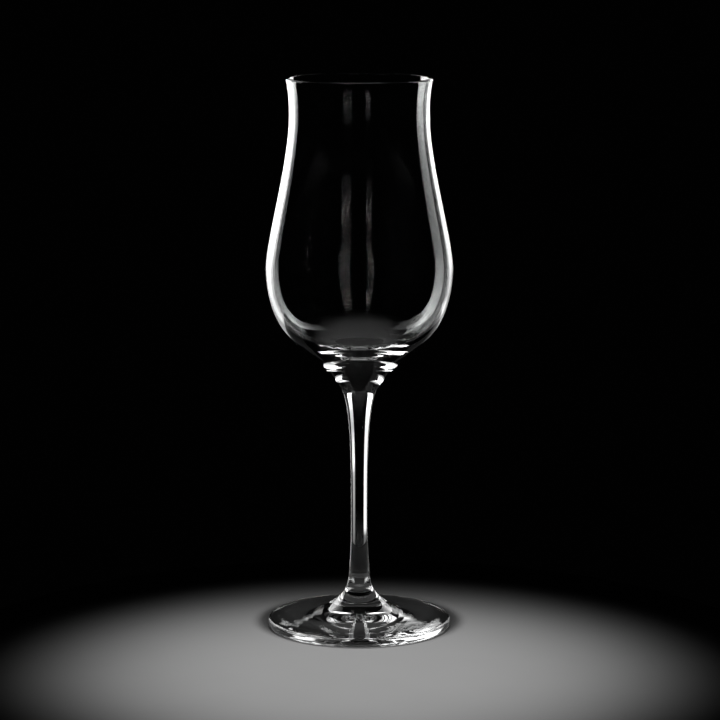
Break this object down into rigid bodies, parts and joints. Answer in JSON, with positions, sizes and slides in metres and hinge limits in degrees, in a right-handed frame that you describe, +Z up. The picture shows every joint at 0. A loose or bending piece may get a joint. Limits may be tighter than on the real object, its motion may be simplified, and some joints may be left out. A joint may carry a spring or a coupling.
{
  "type": "whisky nosing glass",
  "caption": "Clear stemmed nosing glass: a tulip bowl with a turned-out lip and a solid base, a slender drawn stem and a round spread foot, welded end to end.",
  "frame": {"origin": "centre of the foot's underside, on the plane that the glass stands on", "axes": "+Z up along the axis of the glass, from the foot to the rim; the glass is the same all round, so +X and +Y are free"},
  "size_m": [0.066, 0.066, 0.195],
  "materials": {
    "clear_glass": "clear colourless glass, fire polished"
  },
  "bodies": {
    "root": {"bowl": "clear_glass", "stem": "clear_glass", "foot": "clear_glass"}
  },
  "joints": []
}
